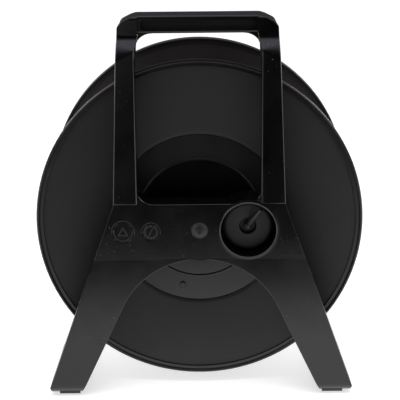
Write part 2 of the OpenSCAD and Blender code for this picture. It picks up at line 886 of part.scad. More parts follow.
// The front flange, with ledges for the hub cover and the front hub and a seat for the core
module front_flange() {
    root_back = ledge_back + core_seat;
    color([0.13, 0.13, 0.135]) place() difference() {
        union() {
            revolve_front() polygon(concat(face_pts, [
                [hub_r, ledge_in], [lip_r + push_fit, ledge_in], [lip_r + push_fit, lip_back],
                [core_in, lip_back], [core_in, ledge_back], [seat_r, ledge_back],
                [seat_r, root_back], [hub_r + root_step, root_back],
                [hub_r + 4 * root_step, back_pts[0][1] - 1]
            ], tail(back_pts)));
            translate([0, 0, -crank_at])
                tube_y(crank_boss_r, crank_face - flange_t / 2, crank_boss_y);
        }
        translate([0, 0, -crank_at])
            tube_y(crank_stud_r + push_fit, crank_boss_y - crank_stud_l - bore_spare,
                crank_boss_y + lap);
    }
}

// The front hub: a pot in the core's end, whose lip holds the flange, with the bearing sleeve
module front_hub() {
    color([0.13, 0.13, 0.135]) place() difference() {
        union() {
            revolve_front() polygon([
                [lip_r, ledge_in], [pot_r - pot_wall, ledge_in], [pot_r - pot_wall, pot_floor],
                [0, pot_floor], [0, pot_floor + web_t], [pot_r, pot_floor + web_t],
                [pot_r, lip_back], [lip_r, lip_back]
            ]);
            tube_y(sleeve_r, sleeve_y0, sleeve_y1);
            around(web_ribs, 30) web_rib();
            around(cover_screw_n, 30) translate([cover_screw_pcr, 0, 0])
                tube_y(screw_boss_r, drum_w - pot_floor - lap, drum_w - ledge_in);
        }
        tube_y(sleeve_in, sleeve_y0 - lap, sleeve_y0 + bush_len + bore_spare);
        tube_y(sleeve_in, sleeve_y1 - bush_len - bore_spare, sleeve_y1 + lap);
        tube_y(axle_r + sleeve_relief, sleeve_y0, sleeve_y1);
        around(drum_screw_n) translate([drum_screw_pcr, 0, 0])
            tube_y(screw_r + push_fit, web_back - lap, drum_w - pot_floor + lap);
        around(cover_screw_n, 30) translate([cover_screw_pcr, 0, 0])
            tube_y(screw_r + push_fit, drum_w - ledge_in - cover_screw_len + 2 * lap,
                drum_w - ledge_in + lap);
    }
}

// A three-cornered fin from the sleeve to the web
module web_rib() {
    translate([0, 0, -rib_t / 2]) linear_extrude(rib_t) polygon([
        [sleeve_r - lap, web_back + lap], [web_rib_r, web_back + lap],
        [web_rib_r, web_back - 2 * rib_t], [sleeve_r - lap, web_back - web_rib_reach]
    ]);
}

module hub_cover() {
    y = drum_w - dish_depth;
    color([0.12, 0.12, 0.125]) place() difference() {
        revolve_front() polygon([
            [0, dish_depth], [hub_r - cover_bead, dish_depth],
            [hub_r - cover_bead + 1, dish_depth - cover_bead_h],
            [hub_r - cover_bead / 2, dish_depth - cover_bead_h],
            [hub_r - cover_bead / 4, dish_depth], [hub_r - push_fit, dish_depth],
            [hub_r - push_fit, dish_depth + cover_t], [0, dish_depth + cover_t]
        ]);
        around(cover_screw_n, 30) translate([cover_screw_pcr, 0, 0])
            tube_y(screw_r + push_fit, y - cover_t - lap, y + lap);
    }
}

// A pan-head screw in local axes: its head's underside is at 0 and its shank goes towards -Y
module screw(len) {
    difference() {
        union() {
            tube_y(screw_r, -len, lap / 2);
            revolve() polygon([
                [0, 0], [screw_head_r, 0], [screw_head_r, screw_head_h - head_edge],
                [screw_head_r - head_edge, screw_head_h], [0, screw_head_h]
            ]);
        }
        for (a = [0, 90]) rotate([0, a, 0])
            translate([-cross_l / 2, screw_head_h - cross_d, -cross_w / 2])
                cube([cross_l, cross_d + lap, cross_w]);
    }
}

module drum_screws() {
    color([0.7, 0.7, 0.72]) place() around(drum_screw_n)
        translate([drum_screw_pcr, drum_w - pot_floor, 0]) screw(screw_len);
}

module cover_screws() {
    color([0.7, 0.7, 0.72]) place() around(cover_screw_n, 30)
        translate([cover_screw_pcr, drum_w - dish_depth, 0]) screw(cover_screw_len);
}

module cord_grommet() {
    z0 = core_in - grommet_lip_t;
    z1 = core_r + 1 + grommet_lip_t;
    color([0.05, 0.05, 0.05]) place() translate([0, cord_y, 0]) difference() {
        union() {
            translate([0, 0, z0 - 2]) cylinder(r = cord_boss_r - push_fit, h = z1 - z0 + 2);
            translate([0, 0, z1 - 0.1]) cylinder(r = cord_boss_r + grommet_lip, h = grommet_lip_t);
        }
        translate([0, 0, z0 - 4]) cylinder(r = cord_hole_r, h = z1 - z0 + 10);
    }
}

// ---- crank ----

module crank_pin() {
    color([0.66, 0.66, 0.68]) place() translate([0, 0, -crank_at]) {
        tube_y(crank_stud_r, crank_boss_y - crank_stud_l, crank_boss_y + lap);
        tube_y(crank_pin_r, crank_boss_y, crank_seat + end_float);
        tube_y(crank_head_r, crank_seat + end_float, crank_seat + end_float + crank_head_h - 1);
    }
}

module crank_knob() {
    bore = crank_pin_r + run_fit;
    color([0.1, 0.1, 0.105]) place() translate([0, crank_y0, -crank_at]) revolve() difference() {
        polygon(concat(
            [[0, 0], [crank_r - 4, 0], [crank_r - 3, 1]],
            [for (a = [0 : 15 : 90]) [
                crank_r - 3 + 3 * sin(a), 6 + (crank_l - 20) * (a / 90)]],
            [for (a = [0 : 15 : 75]) [
                crank_r - 6 + 6 * cos(a), crank_l - 8 + 8 * sin(a)]],
            [[crank_head_r + crank_rim + 1.4, crank_l], [0, crank_l]]
        ));
        translate([-lap, -lap]) square([bore + lap, crank_l + 2 * lap]);
        translate([0, crank_seat - crank_y0]) square([crank_head_r + crank_rim, crank_l]);
    }
}

module crank_cap() {
    y1 = crank_y0 + crank_l;
    color([0.14, 0.14, 0.145]) place() translate([0, 0, -crank_at]) revolve() polygon([
        [0, y1 - crank_cap_t], [crank_head_r + crank_rim - push_fit, y1 - crank_cap_t],
        [crank_head_r + crank_rim - push_fit, y1 - 0.4], [crank_head_r, y1], [0, y1]
    ]);
}

// ---- brake ----

module at_brake() {
    place() translate([brake_x, 0, 0]) children();
}

module brake_knob() {
    round_pts = [for (a = [0 : 15 : 90]) [
        knob_r - knob_round + knob_round * sin(a), knob_y0 + knob_round - knob_round * cos(a)]];
    color([0.17, 0.17, 0.175]) at_brake() revolve() polygon(concat(
        [[knob_hole_r + 0.8, knob_y0]], round_pts, [
            [knob_r, knob_y1 - knob_skirt_h], [knob_skirt_r, knob_y1 - knob_skirt_h + 0.6],
            [knob_skirt_r, knob_y1], [knob_r - knob_wall, knob_y1],
            [knob_r - knob_wall, knob_y0 + knob_round],
            [knob_hole_r + knob_wall, knob_y0 + knob_round], [knob_hole_r + knob_wall, knob_y1],
            [spindle_r + push_fit, knob_y1], [spindle_r + push_fit, hole_floor],
            [knob_hole_r, hole_floor], [knob_hole_r, knob_y0 + 0.8]
        ]));
}

// A hub at the bottom of the knob's hole and a tapered rod with a hollow tip
module brake_lever() {
    ball_y = knob_y0 + lever_sunk;
    tip_y = knob_y0 - lever_rise;
    lean = atan2(lever_reach, ball_y - tip_y);
    reach = norm([lever_reach, ball_y - tip_y]);
    color([0.2, 0.2, 0.21]) at_brake() rotate([0, -lever_angle, 0]) {
        tube_y(knob_hole_r - 0.5, hole_floor - lever_hub_t, hole_floor);
        tube_y(lever_neck_r, ball_y, hole_floor - lever_hub_t + lap);
        translate([0, ball_y, 0]) sphere(r = lever_ball_r);
        translate([0, ball_y, 0]) rotate([90, 0, lean]) difference() {
            cylinder(r1 = lever_r, r2 = lever_tip_r, h = reach);
            translate([0, 0, reach - 3]) cylinder(r = lever_tip_r - 0.7, h = 4);
        }
    }
}

module brake_spindle() {
    color([0.66, 0.66, 0.68]) at_brake() revolve() polygon([
        [0, hole_floor], [spindle_r, hole_floor], [spindle_r, spindle_end - 0.8],
        [spindle_r - 0.8, spindle_end], [0, spindle_end]
    ]);
}

// A snap ring that keeps the spindle in the cup
module spindle_clip() {
    color([0.5, 0.5, 0.52]) at_brake() difference() {
        tube_y(spindle_r + clip_wall, cup_reach + 0.1, cup_reach + 0.1 + clip_t);
        tube_y(spindle_r + run_fit, cup_reach - lap, cup_reach + clip_t + 2 * lap);
    }
}

module brake_shoe() {
    end_x = lining_x1 + 1;
    color([0.75, 0.72, 0.62]) place() difference() {
        union() {
            translate([brake_x, 0, 0]) tube_y(shoe_eye_r, shoe_y, shoe_y + shoe_t);
            translate([brake_x, shoe_y, -shoe_w / 2]) cube([end_x - brake_x, shoe_t, shoe_w]);
        }
        translate([brake_x, 0, 0]) {
            tube_y(spindle_r + run_fit, shoe_y - lap, shoe_y + shoe_t + lap);
            tube_y(spindle_r + clip_wall + 1, shoe_y - lap, shoe_y + 1.4);
        }
    }
}

// A block of friction rubber that stops just short of the hub plate
module brake_pad() {
    y0 = shoe_y + shoe_t;
    half = shoe_w / 2 - 1;
    color([0.1, 0.1, 0.1]) place() translate([lining_x0, y0, -half])
        cube([lining_l, hub_face - brake_travel - end_float - y0, 2 * half]);
}

stand_frame();
foot_pads();
axle();
axle_nut();
rear_washer();
front_washer();
rear_flange();
drum_core();
hub_plate();
front_flange();
front_hub();
hub_cover();
drum_screws();
cover_screws();
rear_bush();
front_bush();
cord_grommet();
crank_pin();
crank_knob();
crank_cap();
brake_knob();
brake_lever();
brake_spindle();
spindle_clip();
brake_shoe();
brake_pad();
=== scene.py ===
"""Cord reel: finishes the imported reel, one operator for each group of pieces, and sets it on a
studio floor."""

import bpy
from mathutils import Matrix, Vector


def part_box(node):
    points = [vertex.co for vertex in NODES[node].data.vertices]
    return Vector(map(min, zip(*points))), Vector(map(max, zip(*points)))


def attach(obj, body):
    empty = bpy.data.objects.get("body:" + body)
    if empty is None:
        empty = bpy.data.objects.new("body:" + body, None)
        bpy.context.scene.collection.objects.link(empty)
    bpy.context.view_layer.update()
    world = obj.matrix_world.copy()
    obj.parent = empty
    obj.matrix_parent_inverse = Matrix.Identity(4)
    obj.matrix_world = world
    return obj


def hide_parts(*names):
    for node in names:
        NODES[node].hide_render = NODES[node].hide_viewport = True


bl_info = {
    "name": "Cord Reel",
    "version": (1, 0, 0),
    "blender": (4, 5, 0),
    "location": "View3D > Sidebar > Cord Reel",
    "description": "Finishes the pieces of a cord reel: mouldings, drum, brake, crank and fittings",
    "category": "Mesh",
}

import math
from collections import namedtuple

import bmesh
import bpy
from bpy.props import FloatProperty, FloatVectorProperty, PointerProperty
from mathutils import Matrix, Vector

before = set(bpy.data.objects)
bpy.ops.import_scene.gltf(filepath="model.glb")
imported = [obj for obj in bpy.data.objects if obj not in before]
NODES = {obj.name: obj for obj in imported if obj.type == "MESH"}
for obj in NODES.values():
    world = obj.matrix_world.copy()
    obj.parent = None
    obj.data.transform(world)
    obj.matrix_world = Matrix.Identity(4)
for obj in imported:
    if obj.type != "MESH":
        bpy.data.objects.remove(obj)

# Places that the frame gives: the axle's centre line, the drum's rear rim and the brake knob
AXLE_LOW, AXLE_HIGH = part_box("axle")
AXLE_X = (AXLE_LOW.x + AXLE_HIGH.x) / 2
AXLE_Z = (AXLE_LOW.z + AXLE_HIGH.z) / 2
DRUM_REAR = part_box("rear_flange")[0].y
BRAKE_LOW, BRAKE_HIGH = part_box("brake_knob")
BRAKE_X = (BRAKE_LOW.x + BRAKE_HIGH.x) / 2
BRAKE_Z = (BRAKE_LOW.z + BRAKE_HIGH.z) / 2

# Places on the stand, in metres. Heights are over the axle, and widths count from the middle.
PLATE_REAR = DRUM_REAR - 0.028   # the rear face of the plate and the legs
FACE_DEPTH = 0.0015              # the edges of that face lie no deeper than this
CHEEK_LOW = 0.160                # the slanted bands and the arms' cheeks lie over this
BAND_MIDDLE = 0.174              # halfway up the slanted bands
CUP_EDGE = 0.0315                # the edges this close to the brake belong to its cup
CUP_LIP = 0.0300                 # the lip of the moulding round the cup lies within this

# The window between the arms, the mouth of the grip's channel, the tray inside it, which lies
# TRAY_BACK in front of the plate's rear face, and the middles of the mould's two marks
WINDOW_LOW, WINDOW_HIGH, WINDOW_WIDE = 0.020, 0.130, 0.063
CHANNEL_LOW, CHANNEL_WIDE = 0.184, 0.056
TRAY_LOW, TRAY_HIGH, TRAY_BACK = 0.1863, 0.1967, 0.0185
DIAL_X, TRIANGLE_X, MARKS_Z = -0.0454, -0.0714, -0.001

# How many times paler than the stand's plastic these are. The bead's paleness is a painted
# highlight on the cup's lip.
# The channel's paleness is painted light that lifts the shade inside the grip's channel.
CHANNEL_PAINTED_LIGHT, MARKS_PALER, BEAD_HIGHLIGHT = 2.4, 7.0, 24.0


def size(label, about, value, low=0.0, high=10.0):
    return FloatProperty(name=label, description=about, default=value, min=low, soft_max=high,
                         unit="LENGTH", subtype="DISTANCE", precision=4)


def share(label, about, value):
    return FloatProperty(name=label, description=about, default=value, min=0.0, max=1.0,
                         subtype="FACTOR")


def colour(label, about, value):
    return FloatVectorProperty(name=label, description=about, default=value, size=3, min=0.0,
                               max=1.0, subtype="COLOR")


class StandSettings(bpy.types.PropertyGroup):
    outline_round: size("Outline rounding", "Radius on the outer edges of the rear face", 0.0010)
    window_round: size("Window rounding", "Radius on the edges of the window", 0.0018)
    band_round: size("Band rounding", "Length of the soft upper end of the slanted bands", 0.0035)
    bend_round: size("Bend rounding", "Length of the soft lower end of the slanted bands", 0.0115)
    colour: colour("Colour", "Colour of the stand's plastic", (0.0019, 0.0018, 0.0020))
    rough_low: share("Smoothest", "Roughness where the moulding is smoothest", 0.17)
    rough_high: share("Roughest", "Roughness where the moulding is dullest", 0.27)
    dust: share("Dust", "How much dust lies on the stand", 0.9)
    rubber: colour("Rubber", "Colour of the feet's rubber", (0.012, 0.012, 0.012))
    mark: size("Mark height", "How far the marks of the mould stand out of the plate", 0.0004)
    handle_start: size("Handle start", "Height over the axle at which the handle starts", 0.151)
    handle_factor: share("Handle factor", "Share that the handle keeps of its height", 0.942)
    channel: size("Channel reach", "Half the length of the grip's channel", 0.0530)
    cup_reach: size("Cup radius", "Inner radius of the liner round the brake knob", 0.0259)
    cup_lip: size("Cup lip", "How far that liner's lip stands out of the plate", 0.0009)
    cup_bead: size("Cup bead", "Radius of the thin bead on that lip", 0.0006)


class DrumSettings(bpy.types.PropertyGroup):
    edge_round: size("Edge rounding", "Radius on the edges of the drum's mouldings", 0.0004)
    rim: size("Rim", "Radius from which the flanges' rims are polished", 0.1478)
    # Inside the bead the hub plate is painted darker: painted shade for its recessed disc behind
    # the stand
    bead: size("Bead", "Radius of the bead on the hub plate, inside which it is darker", 0.0578)
    colour: colour("Colour", "Colour of the drum's plastic", (0.0108, 0.0084, 0.0084))
    plate_colour: colour("Hub plate", "Colour of the hub plate's plastic", (0.0064, 0.0054, 0.0050))
    rough_low: share("Smoothest", "Roughness where the drum is smoothest", 0.44)
    rough_high: share("Roughest", "Roughness where the drum is dullest", 0.56)
    dust: share("Dust", "How much dust lies on the drum", 0.25)
    grommet: colour("Grommet", "Colour of the grommet's rubber", (0.01, 0.01, 0.01))


class FittingSettings(bpy.types.PropertyGroup):
    steel: colour("Steel", "Colour of the zinc-plated fittings", (0.55, 0.55, 0.56))
    coated: colour("Coated steel", "Colour of the axle's black coating", (0.006, 0.0058, 0.0058))
    dimple: size("Dimple", "Radius of the dimple in the axle's head", 0.0016)
    ridge: size("Ridge", "Height of the ridge round that dimple", 0.0003)
    nylon: colour("Nylon", "Colour of the bearing bushes", (0.75, 0.73, 0.68))


class BrakeSettings(bpy.types.PropertyGroup):
    knob: colour("Knob", "Colour of the brake knob and its lever", (0.015, 0.0138, 0.0135))
    shoe: colour("Shoe", "Colour of the brake shoe", (0.6, 0.57, 0.48))
    pad: colour("Pad", "Colour of the friction pad", (0.03, 0.028, 0.026))
    edge_round: size("Edge rounding", "Radius on the edges of the lever", 0.0004)
    radius: size("Knob radius", "Radius of the knob over its skirt", 0.0238)
    hole: size("Hole radius", "Radius of the hole round the lever", 0.0079)
    bore: size("Bore radius", "Radius of the bore on the spindle", 0.0041)
    corner: size("Shoulder radius", "Radius between the knob's face and its side", 0.0042)


class CrankSettings(bpy.types.PropertyGroup):
    grip: colour("Knob", "Colour of the winding knob", (0.012, 0.012, 0.0125))
    edge_round: size("Edge rounding", "Radius on the edges of the winding knob", 0.0004)


class StageSettings(bpy.types.PropertyGroup):
    floor: colour("Floor", "Colour of the floor", (0.8, 0.8, 0.8))
    key: FloatProperty(name="Top lamp", description="Strength of the soft lamp over the reel",
                       default=14.0, unit="POWER")
    sky: FloatProperty(name="Surroundings", description="Strength of the light from all sides",
                       default=0.55)


GROUPS = {"reel_stand": StandSettings, "reel_drum": DrumSettings, "reel_fittings": FittingSettings,
          "reel_brake": BrakeSettings, "reel_crank": CrankSettings, "reel_stage": StageSettings}


# Selecting and finishing

def nothing_selected():
    for other in bpy.context.selected_objects:
        other.select_set(False)


def only(piece):
    """Makes this piece the only one that is selected, and the active one."""
    nothing_selected()
    piece.select_set(True)
    bpy.context.view_layer.objects.active = piece


def edit(piece, kind):
    """Opens a piece in edit mode with nothing selected, and gives its mesh."""
    only(piece)
    bpy.ops.object.mode_set(mode="EDIT")
    bpy.ops.mesh.select_mode(type=kind)
    bpy.ops.mesh.select_all(action="DESELECT")
    return bmesh.from_edit_mesh(piece.data)


def merged_copy(node, name):
    """A copy of a node's mesh with its loose triangles joined and its flat faces whole again."""
    piece = bpy.data.objects.new(name, NODES[node].data.copy())
    bpy.context.scene.collection.objects.link(piece)
    piece.data.name = name
    piece.data.materials.clear()
    only(piece)
    bpy.ops.mesh.customdata_custom_splitnormals_clear()
    bpy.ops.object.mode_set(mode="EDIT")
    bpy.ops.mesh.select_all(action="SELECT")
    bpy.ops.mesh.remove_doubles(threshold=2e-6)
    bpy.ops.mesh.dissolve_limited(angle_limit=math.radians(0.4))
    bpy.ops.object.mode_set(mode="OBJECT")
    return piece


def round_edges(piece, radius, wanted, steps=2, least=28.0, shortest=0.0004, hollows=False):
    """Rounds the outer edges, and on request the hollow ones, that wanted() picks by their place
    and their two faces' directions. Edges that bend less than the least angle stay as they are."""
    mesh = edit(piece, "EDGE")
    mesh.normal_update()
    found = 0
    for edge in mesh.edges:
        if not edge.is_manifold or edge.calc_length() < shortest:
            continue
        bend = edge.calc_face_angle_signed(0.0)
        if (abs(bend) if hollows else bend) < math.radians(least):
            continue
        middle = (edge.verts[0].co + edge.verts[1].co) / 2
        if wanted(middle, [face.normal for face in edge.link_faces]):
            edge.select = True
            found += 1
    mesh.select_flush_mode()
    bmesh.update_edit_mesh(piece.data)
    if found:
        bpy.ops.mesh.bevel(offset=radius, segments=steps, profile=0.5, clamp_overlap=False)
    bpy.ops.object.mode_set(mode="OBJECT")
    return found


def squeeze(piece, wanted, value, centre):
    """Scales the points that wanted() picks by their place, about a centre."""
    mesh = edit(piece, "VERT")
    for vertex in mesh.verts:
        vertex.select = wanted(vertex.co)
    mesh.select_flush_mode()
    bmesh.update_edit_mesh(piece.data)
    bpy.ops.transform.resize(value=value, center_override=centre)
    bpy.ops.object.mode_set(mode="OBJECT")


def smooth(piece, angle=35.0):
    only(piece)
    bpy.ops.object.shade_smooth_by_angle(angle=math.radians(angle))
    weights = piece.modifiers.new("weights", "WEIGHTED_NORMAL")
    weights.keep_sharp = True
    bpy.ops.object.modifier_apply(modifier=weights.name)


def settle(piece, name):
    """Names a new piece and puts its place and its turn into its mesh."""
    piece.name = piece.data.name = name
    only(piece)
    bpy.ops.object.transform_apply(location=True, rotation=True, scale=True)
    return piece


def put_on(piece, body, slot, material, *nodes):
    """Gives a finished piece its material, its body and the nodes it stands for."""
    piece.data.materials.clear()
    piece.data.materials.append(material)
    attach(piece, body)
    if nodes:
        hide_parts(*nodes)


def paint(node, material):
    """A node whose shape stays as it is takes a finished material."""
    piece = NODES[node]
    if piece.material_slots:
        for place in piece.material_slots:
            place.material = material
    else:
        piece.data.materials.append(material)


# Edges that are rounded, picked by the middle of an edge and the directions of its two faces. A
# direction has a length of 1, and its y is -1 where the face looks straight to the rear.

def everywhere(middle, normals):
    return True


def to_rear(middle, normals):
    """The edges of the faces that look to the rear."""
    return min(normal.y for normal in normals) < -0.6


def at_band(middle, normals):
    """The level edges across an arm, between its face, the slanted band and the cheek."""
    slanted = any(-0.9 < normal.y < -0.4 and normal.z > 0.4 for normal in normals)
    level = any(normal.y < -0.97 for normal in normals)
    return slanted and level and middle.z > AXLE_Z + CHEEK_LOW


def at_band_top(middle, normals):
    return at_band(middle, normals) and middle.z > AXLE_Z + BAND_MIDDLE


def at_band_foot(middle, normals):
    return at_band(middle, normals) and middle.z < AXLE_Z + BAND_MIDDLE


def at_stand_rear(middle, normals):
    """The edges of the stand's rear face and of the cheeks, clear of the cup and the channel."""
    up = middle.z - AXLE_Z
    in_face = middle.y < PLATE_REAR + FACE_DEPTH or up > CHEEK_LOW
    by_cup = math.hypot(middle.x - BRAKE_X, middle.z - BRAKE_Z) < CUP_EDGE
    by_channel = up > CHANNEL_LOW and abs(middle.x - AXLE_X) < CHANNEL_WIDE
    return to_rear(middle, normals) and in_face and not by_cup and not by_channel


def at_window(middle, normals):
    """The rear edges of the window between the arms, over the plate."""
    across, up = abs(middle.x - AXLE_X), middle.z - AXLE_Z
    return across < WINDOW_WIDE and WINDOW_LOW < up < WINDOW_HIGH and at_stand_rear(middle, normals)


# Pieces of the stand, the axle's head and the brake knob

def flatten_lip(piece):
    """Lays the moulding's lip round the brake's cup level with the plate, under the liner's lip."""
    slack, kept = 0.0001, 0.03

    def in_lip(place):
        away = math.hypot(place.x - BRAKE_X, place.z - BRAKE_Z)
        return away < CUP_LIP and place.y < PLATE_REAR - slack

    squeeze(piece, in_lip, (1.0, kept, 1.0), (BRAKE_X, PLATE_REAR, BRAKE_Z))


def lower_handle(piece, start, factor):
    """Brings everything above the start height down in proportion to its height over it."""
    squeeze(piece, lambda place: place.z > start, (1.0, 1.0, factor), (AXLE_X, 0.0, start))


def turned_ring(name, profile, x, z, steps=96):
    """Turns a closed outline of (radius, y) points once round the level axis through x and z."""
    nothing_selected()
    bpy.ops.mesh.primitive_circle_add(vertices=len(profile), radius=0.001, fill_type="NOTHING",
                                      location=(x, 0.0, z))
    piece = bpy.context.active_object
    for vertex, (radius, y) in zip(piece.data.vertices, profile):
        vertex.co = Vector((radius, y, 0.0))
    bpy.ops.object.mode_set(mode="EDIT")
    bpy.ops.mesh.select_all(action="SELECT")
    bpy.ops.mesh.spin(steps=steps, angle=math.tau, center=(x, 0.0, z), axis=(0.0, 1.0, 0.0))
    bpy.ops.mesh.select_all(action="SELECT")
    bpy.ops.mesh.remove_doubles(threshold=1e-6)
    bpy.ops.mesh.normals_make_consistent(inside=False)
    bpy.ops.object.mode_set(mode="OBJECT")
    return settle(piece, name)


def cup_liner(reach, proud):
    """The liner of the brake's cup, with a thin rounded lip in front and a collar on the plate."""
    deep = 0.0300
    profile = [(0.0, deep), (0.0, -0.45 * proud), (0.0001, -0.8 * proud), (0.0003, -proud),
               (0.0007, -proud), (0.0010, -0.8 * proud), (0.0012, -0.3 * proud),
               (0.0014, -0.07 * proud), (0.0028, -0.04 * proud), (0.0031, 0.0002),
               (0.0026, 0.0006), (0.0026, deep)]
    profile = [(reach + out, PLATE_REAR + y) for out, y in profile]
    return turned_ring("cup_liner", profile, BRAKE_X, BRAKE_Z)


def cup_bead(reach, thick, proud):
    """A thin round bead on the lip of the brake's cup."""
    sides = 12
    turns = [math.tau * step / sides for step in range(sides)]
    profile = [(reach + thick * math.cos(turn), PLATE_REAR - proud - thick * math.sin(turn))
               for turn in turns]
    return turned_ring("cup_bead", profile, BRAKE_X, BRAKE_Z)


def knob_shell(radius, hole, bore, corner):
    """The brake knob: a round face with a hole for the lever, a rounded shoulder and a skirt."""
    face, foot = BRAKE_LOW.y, BRAKE_HIGH.y
    reach = (BRAKE_HIGH.x - BRAKE_LOW.x) / 2
    wall, roof, seat, soft, steps = 0.003, 0.006, 0.010, 0.0008, 8
    profile = [(hole + soft, face)]
    for step in range(steps + 1):
        turn = math.radians(90.0 * step / steps)
        profile.append((radius - corner + corner * math.sin(turn),
                        face + corner - corner * math.cos(turn)))
    profile += [(radius, foot - 0.0049), (radius + 0.0004, foot - 0.0046),
                (reach - 0.0004, foot - 0.0040), (reach, foot - 0.0036), (reach, foot),
                (radius - wall, foot), (radius - wall, face + roof), (hole + wall, face + roof),
                (hole + wall, foot), (bore, foot), (bore, face + seat), (hole, face + seat),
                (hole, face + soft), (hole + 0.0003, face + 0.0002)]
    return turned_ring("knob_shell", profile, BRAKE_X, BRAKE_Z)


def dimple_ring(reach, proud):
    """A low round ridge round the dimple in the axle's head."""
    wide, sunk = 0.0013, 0.0012
    profile = [(0.0, sunk), (0.0, 0.0), (0.0002, -0.7 * proud), (0.0005, -proud),
               (0.0009, -0.7 * proud), (wide, 0.1 * proud), (wide, sunk)]
    profile = [(reach + out, AXLE_LOW.y + y) for out, y in profile]
    return turned_ring("dimple_ring", profile, AXLE_X, AXLE_Z, steps=48)


def channel_tray(across, high, low, back):
    """A shallow tray with a narrow rim that closes the channel of the grip."""
    thick, rim = 0.003, 0.0012
    nothing_selected()
    bpy.ops.mesh.primitive_cube_add(size=1.0, location=(AXLE_X, back, (low + high) / 2),
                                    scale=(2 * across, thick, high - low))
    piece = settle(bpy.context.active_object, "channel_tray")
    mesh = edit(piece, "FACE")
    for face in mesh.faces:
        face.select = face.normal.y < -0.9
    bmesh.update_edit_mesh(piece.data)
    bpy.ops.mesh.inset(thickness=rim)
    bpy.ops.transform.translate(value=(0.0, rim, 0.0))
    bpy.ops.object.mode_set(mode="OBJECT")
    return piece


def date_dial(x, z, proud):
    """Twelve petals round a pointer, raised a little above the plate."""
    petals, petal, ring, wide, long, turned = 12, 0.0013, 0.0058, 0.0012, 0.0075, 28.0
    nothing_selected()
    bpy.ops.mesh.primitive_cylinder_add(vertices=16, radius=petal, depth=2 * proud,
                                        location=(x + ring, PLATE_REAR, z),
                                        rotation=(math.pi / 2, 0.0, 0.0))
    parts = [bpy.context.active_object]
    for step in range(1, petals):
        turn = math.tau * step / petals
        only(parts[0])
        bpy.ops.object.duplicate()
        across, up = ring * (math.cos(turn) - 1.0), ring * math.sin(turn)
        bpy.ops.transform.translate(value=(across, 0.0, up))
        parts.append(bpy.context.active_object)
    nothing_selected()
    bpy.ops.mesh.primitive_cube_add(size=1.0, location=(x, PLATE_REAR, z),
                                    scale=(wide, 2 * proud, long),
                                    rotation=(0.0, math.radians(turned), 0.0))
    for part in parts:
        part.select_set(True)
    bpy.context.view_layer.objects.active = parts[0]
    bpy.ops.object.join()
    return settle(parts[0], "date_dial")


def triangle_mark(x, z, proud):
    """A plain triangle of three bars, raised a little above the plate."""
    reach, bar, drop = 0.0062, 0.0013, 0.0006
    nothing_selected()
    bpy.ops.mesh.primitive_circle_add(vertices=3, radius=reach, fill_type="NGON",
                                      location=(x, PLATE_REAR + proud, z - drop),
                                      rotation=(math.pi / 2, 0.0, 0.0))
    piece = settle(bpy.context.active_object, "triangle_mark")
    edit(piece, "FACE")
    bpy.ops.mesh.select_all(action="SELECT")
    bpy.ops.mesh.inset(thickness=bar)
    bpy.ops.mesh.delete(type="FACE")
    bpy.ops.mesh.select_all(action="SELECT")
    bpy.ops.mesh.extrude_region_move(TRANSFORM_OT_translate={"value": (0.0, -2 * proud, 0.0)})
    bpy.ops.mesh.select_all(action="SELECT")
    bpy.ops.mesh.normals_make_consistent(inside=False)
    bpy.ops.object.mode_set(mode="OBJECT")
    return piece


# Node groups that the materials share

class Wires:
    """Adds nodes to a node tree and links them."""

    def __init__(self, tree):
        self.tree = tree

    def add(self, kind, **values):
        node = self.tree.nodes.new("ShaderNode" + kind)
        for label, value in values.items():
            setattr(node, label, value)
        return node

    def set(self, socket, value):
        """Puts a plain number, a colour or another node's output on a socket."""
        if isinstance(value, bpy.types.NodeSocket):
            self.tree.links.new(value, socket)
        elif value is not None:
            socket.default_value = value

    def maths(self, operation, first, second=None, clamp=False):
        node = self.add("Math", operation=operation, use_clamp=clamp)
        self.set(node.inputs[0], first)
        self.set(node.inputs[1], second)
        return node.outputs[0]

    def parts(self, vector):
        """The three parts of a vector, one output each."""
        node = self.add("SeparateXYZ")
        self.set(node.inputs[0], vector)
        return node.outputs

    def span(self, value, low, high, to_low=0.0, to_high=1.0):
        """Turns the range from low to high into the range from to_low to to_high."""
        node = self.add("MapRange")
        for label, number in (("Value", value), ("From Min", low), ("From Max", high),
                              ("To Min", to_low), ("To Max", to_high)):
            self.set(node.inputs[label], number)
        return node.outputs["Result"]

    def noise(self, place, size, detail=2.0, rough=0.5):
        """Noise whose features are about as large as the size, in metres."""
        node = self.add("TexNoise")
        for label, value in (("Vector", place), ("Scale", self.maths("DIVIDE", 1.0, size)),
                             ("Detail", detail), ("Roughness", rough)):
            self.set(node.inputs[label], value)
        return node.outputs["Fac"]

    def blend(self, amount, first, second):
        node = self.add("Mix", data_type="RGBA")
        self.set(node.inputs[0], amount)
        self.set(node.inputs[6], first)
        self.set(node.inputs[7], second)
        return node.outputs[2]

    def bump(self, shader, height, distance=1.0):
        node = self.add("Bump")
        node.inputs["Distance"].default_value = distance
        self.set(node.inputs["Height"], height)
        self.set(shader.inputs["Normal"], node.outputs[0])

    def group(self, kind, **values):
        node = self.add("Group")
        node.node_tree = kind
        for label, value in values.items():
            self.set(node.inputs[label.replace("_", " ")], value)
        return node.outputs


def make_group(name, inputs, outputs, build):
    """Builds a named node group once, and gives the same one back after that."""
    if name in bpy.data.node_groups:
        return bpy.data.node_groups[name]
    group = bpy.data.node_groups.new(name, "ShaderNodeTree")
    number = "NodeSocketFloat"
    for label, value in inputs:
        socket = group.interface.new_socket(name=label, in_out="INPUT", socket_type=number)
        socket.default_value = value
    for label in outputs:
        group.interface.new_socket(name=label, in_out="OUTPUT", socket_type=number)
    came = group.nodes.new("NodeGroupInput")
    goes = group.nodes.new("NodeGroupOutput")
    wires = Wires(group)
    place = wires.add("TexCoord").outputs["Object"]
    for label, value in build(wires, place, came.outputs).items():
        wires.set(goes.inputs[label], value)
    return group


